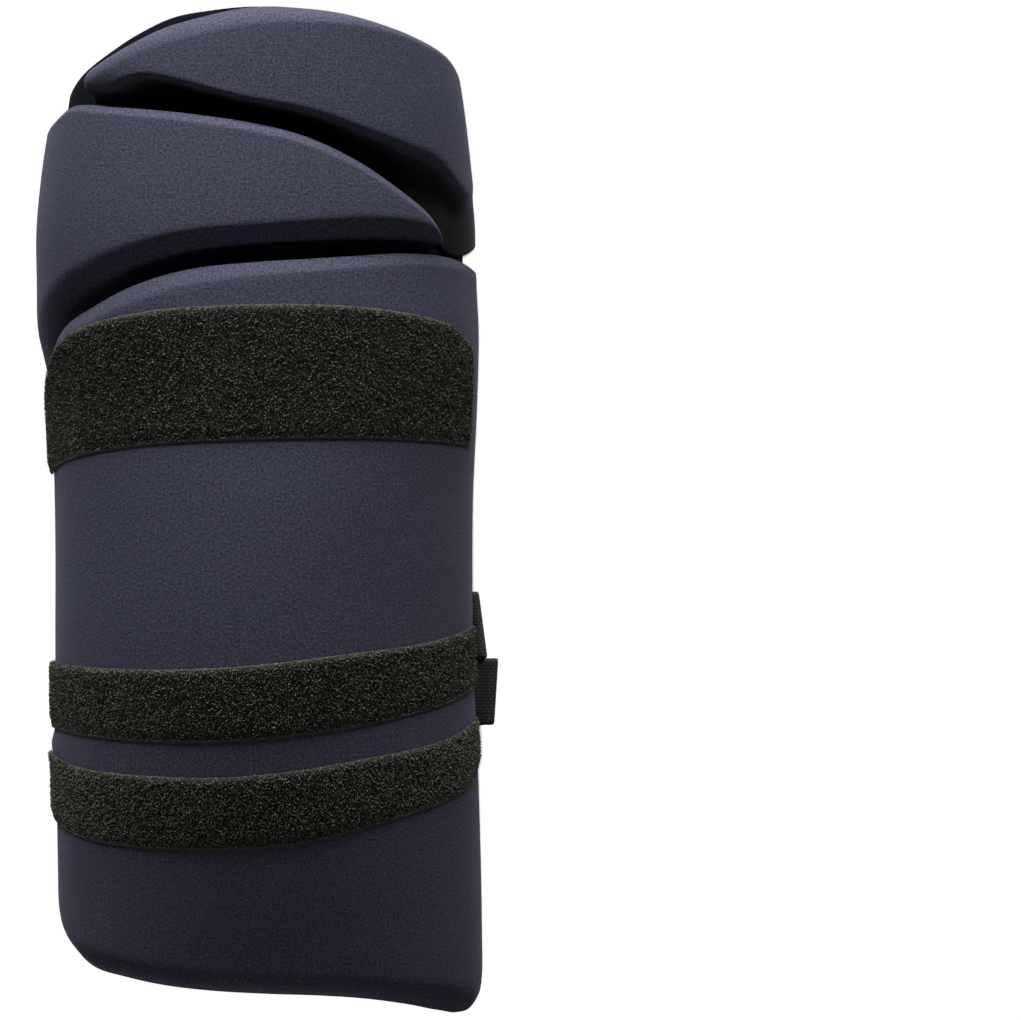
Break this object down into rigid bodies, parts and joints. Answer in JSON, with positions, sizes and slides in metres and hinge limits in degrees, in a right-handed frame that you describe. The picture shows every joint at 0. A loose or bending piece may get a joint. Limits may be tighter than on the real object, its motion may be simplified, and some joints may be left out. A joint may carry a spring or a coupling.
{
  "type": "thigh pad",
  "caption": "Curved foam thigh pad with hinged-look hip segments, loop tapes across the front and elastic straps folded behind.",
  "frame": {"origin": "middle of the pad's outline, on the surface that it lies on", "axes": "+X across the thigh, to the right in the picture; +Y along the thigh towards the hip; +Z out of the front of the pad"},
  "size_m": [0.2027, 0.4345, 0.0886],
  "materials": {
    "navy_knit": "smooth knit jersey over moulded foam",
    "lining_cloth": "plain knit lining",
    "loop_tape": "brushed loop pile with woven edges",
    "elastic": "ribbed woven elastic",
    "hook_tape": "plain moulded hook tape"
  },
  "bodies": {
    "root": {"main_pad": "navy_knit", "mid_segment": "navy_knit", "top_segment": "navy_knit", "lining": "lining_cloth", "waist_loop_tape": "loop_tape", "upper_loop_tape": "loop_tape", "lower_loop_tape": "loop_tape", "upper_strap": "elastic", "lower_strap": "elastic", "upper_strap_hook": "hook_tape", "lower_strap_hook": "hook_tape"}
  },
  "joints": []
}
